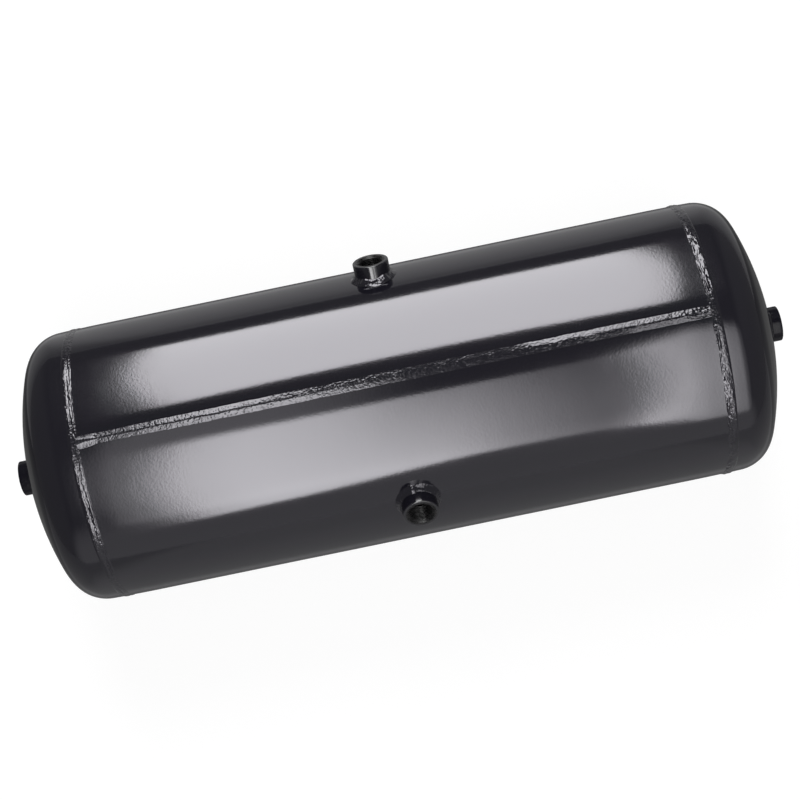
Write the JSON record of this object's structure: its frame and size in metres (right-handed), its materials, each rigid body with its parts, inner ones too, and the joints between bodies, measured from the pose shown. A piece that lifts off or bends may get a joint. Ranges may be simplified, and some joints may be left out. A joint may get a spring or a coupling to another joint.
{
  "type": "compressed air reservoir",
  "caption": "Welded steel air reservoir: a cylinder with dished ends, a seam weld, girth welds and open threaded port bosses on the shell and in the middle of each end.",
  "frame": {"origin": "on the vessel's axis, half way between the two girth welds", "axes": "+X along the vessel's axis, +Z from the axis up through the long seam, +Y away from the near port"},
  "size_m": [0.699, 0.248, 0.248],
  "materials": {
    "vessel_paint": "gloss",
    "weld_paint": "gloss, rippled",
    "boss_paint": "gloss, machined under the paint"
  },
  "bodies": {
    "root": {"shell": "vessel_paint", "head_left": "vessel_paint", "head_right": "vessel_paint", "longitudinal_weld": "weld_paint", "girth_weld_left": "weld_paint", "girth_weld_right": "weld_paint", "port_boss_near": "boss_paint", "port_boss_far": "boss_paint", "port_boss_left": "boss_paint", "port_boss_right": "boss_paint", "boss_weld_near": "weld_paint", "boss_weld_far": "weld_paint", "boss_weld_left": "weld_paint", "boss_weld_right": "weld_paint"}
  },
  "joints": []
}
